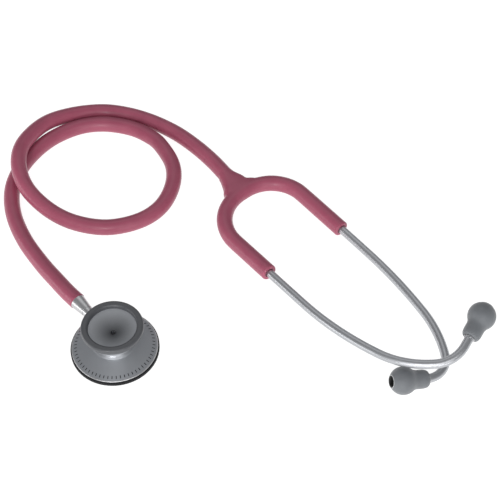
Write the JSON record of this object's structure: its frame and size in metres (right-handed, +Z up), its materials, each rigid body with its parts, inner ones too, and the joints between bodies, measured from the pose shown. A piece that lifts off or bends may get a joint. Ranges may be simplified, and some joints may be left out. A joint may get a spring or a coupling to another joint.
{
  "type": "stethoscope",
  "caption": "Dual-head stethoscope: turning chest piece with bell and diaphragm, looped flexible tube, sprung yoke and bent metal ear tubes with soft eartips.",
  "frame": {"origin": "centre of the diaphragm's outer face, on the chest piece's axis; the whole object lies on the plane z = 0", "axes": "+Z up, from the diaphragm to the bell; +X to the right towards the ear tubes; the stem leaves at 131 degrees from +X"},
  "size_m": [0.2588, 0.2022, 0.036],
  "materials": {
    "chest_metal": "satin grey, finely turned",
    "bell_rubber": "semi-matt, dark grey",
    "rim_rubber": "semi-gloss, near black",
    "surround_rubber": "matt",
    "diaphragm_plastic": "satin laminate",
    "stem_metal": "satin",
    "small_steel": "plain",
    "seal_rubber": "matt",
    "tube_pvc": "semi-gloss raspberry, soft PVC",
    "spring_steel": "blued strip",
    "ear_tube_metal": "satin",
    "eartip_silicone": "matt mid grey"
  },
  "bodies": {
    "tubing_and_yoke": {"tubing": "tube_pvc", "yoke_core": "tube_pvc", "yoke_spring": "spring_steel", "stem": "stem_metal", "stem_clip": "small_steel", "stem_seals": "seal_rubber"},
    "chest_piece": {"chest_body": "chest_metal", "bell_sleeve": "bell_rubber", "diaphragm_rim": "rim_rubber", "diaphragm_surround": "surround_rubber", "stem_nut": "small_steel", "detent_ball": "small_steel", "detent_spring": "small_steel", "detent_screw": "small_steel"},
    "diaphragm": {"diaphragm": "diaphragm_plastic"},
    "right_ear_side": {"right_yoke_arm": "tube_pvc", "right_tube_collar": "small_steel", "right_ear_tube": "ear_tube_metal", "right_tip_ferrule": "ear_tube_metal"},
    "left_ear_side": {"left_yoke_arm": "tube_pvc", "left_tube_collar": "small_steel", "left_ear_tube": "ear_tube_metal", "left_tip_ferrule": "ear_tube_metal"},
    "right_eartip": {"right_eartip": "eartip_silicone"},
    "left_eartip": {"left_eartip": "eartip_silicone"}
  },
  "joints": [
    {"name": "chest_piece_turn", "type": "hinge", "parent": "tubing_and_yoke", "child": "chest_piece", "pos_m": [0, 0, 0.0094], "axis": [-0.6561, 0.7547, 0], "continuous": true},
    {"name": "diaphragm_press", "type": "slide", "parent": "chest_piece", "child": "diaphragm", "axis": [0, 0, 1], "range_m": [0, 0.0003], "stiffness_N_per_m": 3000},
    {"name": "right_ear_spread", "type": "hinge", "parent": "tubing_and_yoke", "child": "right_ear_side", "pos_m": [0.09752, 0.10199, 0.0044], "axis": [0, 0, 1], "range_deg": [-3, 30], "stiffness_Nm_per_rad": 0.5},
    {"name": "left_ear_spread", "type": "hinge", "parent": "tubing_and_yoke", "child": "left_ear_side", "pos_m": [0.06057, 0.0673, 0.0044], "axis": [0, 0, -1], "range_deg": [-3, 30], "stiffness_Nm_per_rad": 0.5},
    {"name": "right_eartip_pull", "type": "slide", "parent": "right_ear_side", "child": "right_eartip", "axis": [-0.9486, -0.2293, 0.2181], "range_m": [0, 0.012]},
    {"name": "left_eartip_pull", "type": "slide", "parent": "left_ear_side", "child": "left_eartip", "axis": [0.5161, 0.8318, 0.2042], "range_m": [0, 0.012]}
  ]
}
